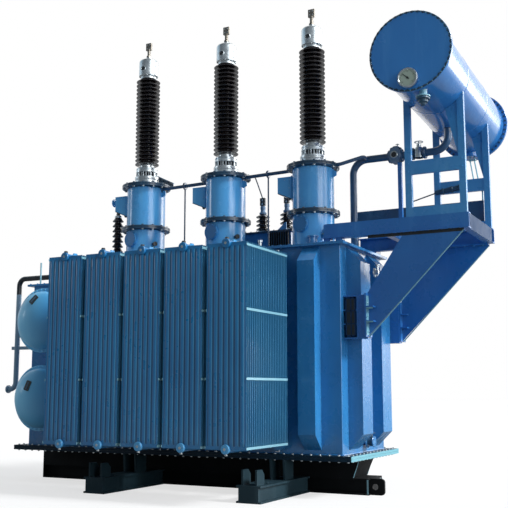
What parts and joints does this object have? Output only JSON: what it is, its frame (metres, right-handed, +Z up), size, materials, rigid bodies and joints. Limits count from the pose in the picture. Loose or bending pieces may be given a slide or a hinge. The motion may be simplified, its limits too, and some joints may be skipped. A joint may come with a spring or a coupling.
{
  "type": "power transformer",
  "caption": "Oil-filled power transformer: ribbed tank with radiator banks front and rear, three high voltage bushings on turrets, and a drum conservator on a cantilevered frame.",
  "frame": {"origin": "Centre of the base girder's underside on the ground, near the middle of the base; millimetres, Z up, X along the tank towards the conservator, Y from the front radiators to the rear.", "axes": "X lengthwise towards the conservator, Y to the rear, Z up"},
  "size_m": [7.623, 4.472, 6.446],
  "materials": {
    "base_black": "matte",
    "tank_blue": "satin",
    "radiator_blue": "satin",
    "pipe_blue": "satin",
    "conservator_blue": "satin",
    "frame_blue": "satin",
    "cover_blue": "satin",
    "porcelain": "gloss",
    "bushing_metal": "satin",
    "relay_metal": "satin",
    "gauge_metal": "satin"
  },
  "bodies": {
    "root": {"base_girder": "base_black", "tow_plate": "base_black", "cross_beams": "base_black", "beam_stools": "base_black", "tank_keel": "base_black", "bottom_flange": "tank_blue", "tank_body": "tank_blue", "front_stiffeners": "tank_blue", "rear_stiffeners": "tank_blue", "end_stiffeners": "tank_blue", "tank_cover": "tank_blue", "switch_housing": "tank_blue", "front_radiator_1": "radiator_blue", "rear_radiator_1": "radiator_blue", "front_radiator_2": "radiator_blue", "rear_radiator_2": "radiator_blue", "front_radiator_3": "radiator_blue", "rear_radiator_3": "radiator_blue", "front_radiator_4": "radiator_blue", "rear_radiator_4": "radiator_blue", "front_radiator_5": "radiator_blue", "rear_radiator_5": "radiator_blue", "turret_1": "tank_blue", "terminal_box_1": "tank_blue", "bushing_foot_1": "bushing_metal", "bushing_head_1": "bushing_metal", "bushing_porcelain_1": "porcelain", "turret_2": "tank_blue", "terminal_box_2": "tank_blue", "bushing_foot_2": "bushing_metal", "bushing_head_2": "bushing_metal", "bushing_porcelain_2": "porcelain", "turret_3": "tank_blue", "terminal_box_3": "tank_blue", "bushing_foot_3": "bushing_metal", "bushing_head_3": "bushing_metal", "bushing_porcelain_3": "porcelain", "low_voltage_bushings": "porcelain", "neutral_bushing": "porcelain", "gas_pipe": "pipe_blue", "oil_pipe_lower": "pipe_blue", "oil_pipe_upper": "pipe_blue", "relief_pipe": "pipe_blue", "gas_relay": "relay_metal", "conservator_shell": "conservator_blue", "conservator_front_cover": "conservator_blue", "conservator_rear_cover": "conservator_blue", "oil_level_gauge": "gauge_metal", "platform_beam_front": "frame_blue", "platform_beam_rear": "frame_blue", "platform_cross_members": "frame_blue", "conservator_frame_front": "frame_blue", "conservator_frame_rear": "frame_blue", "bracket_front": "frame_blue", "bracket_rear": "frame_blue", "bracket_pads": "frame_blue", "relay_post": "frame_blue", "cable_duct": "frame_blue", "domed_cover_lower": "cover_blue", "domed_cover_upper": "cover_blue"}
  },
  "joints": []
}
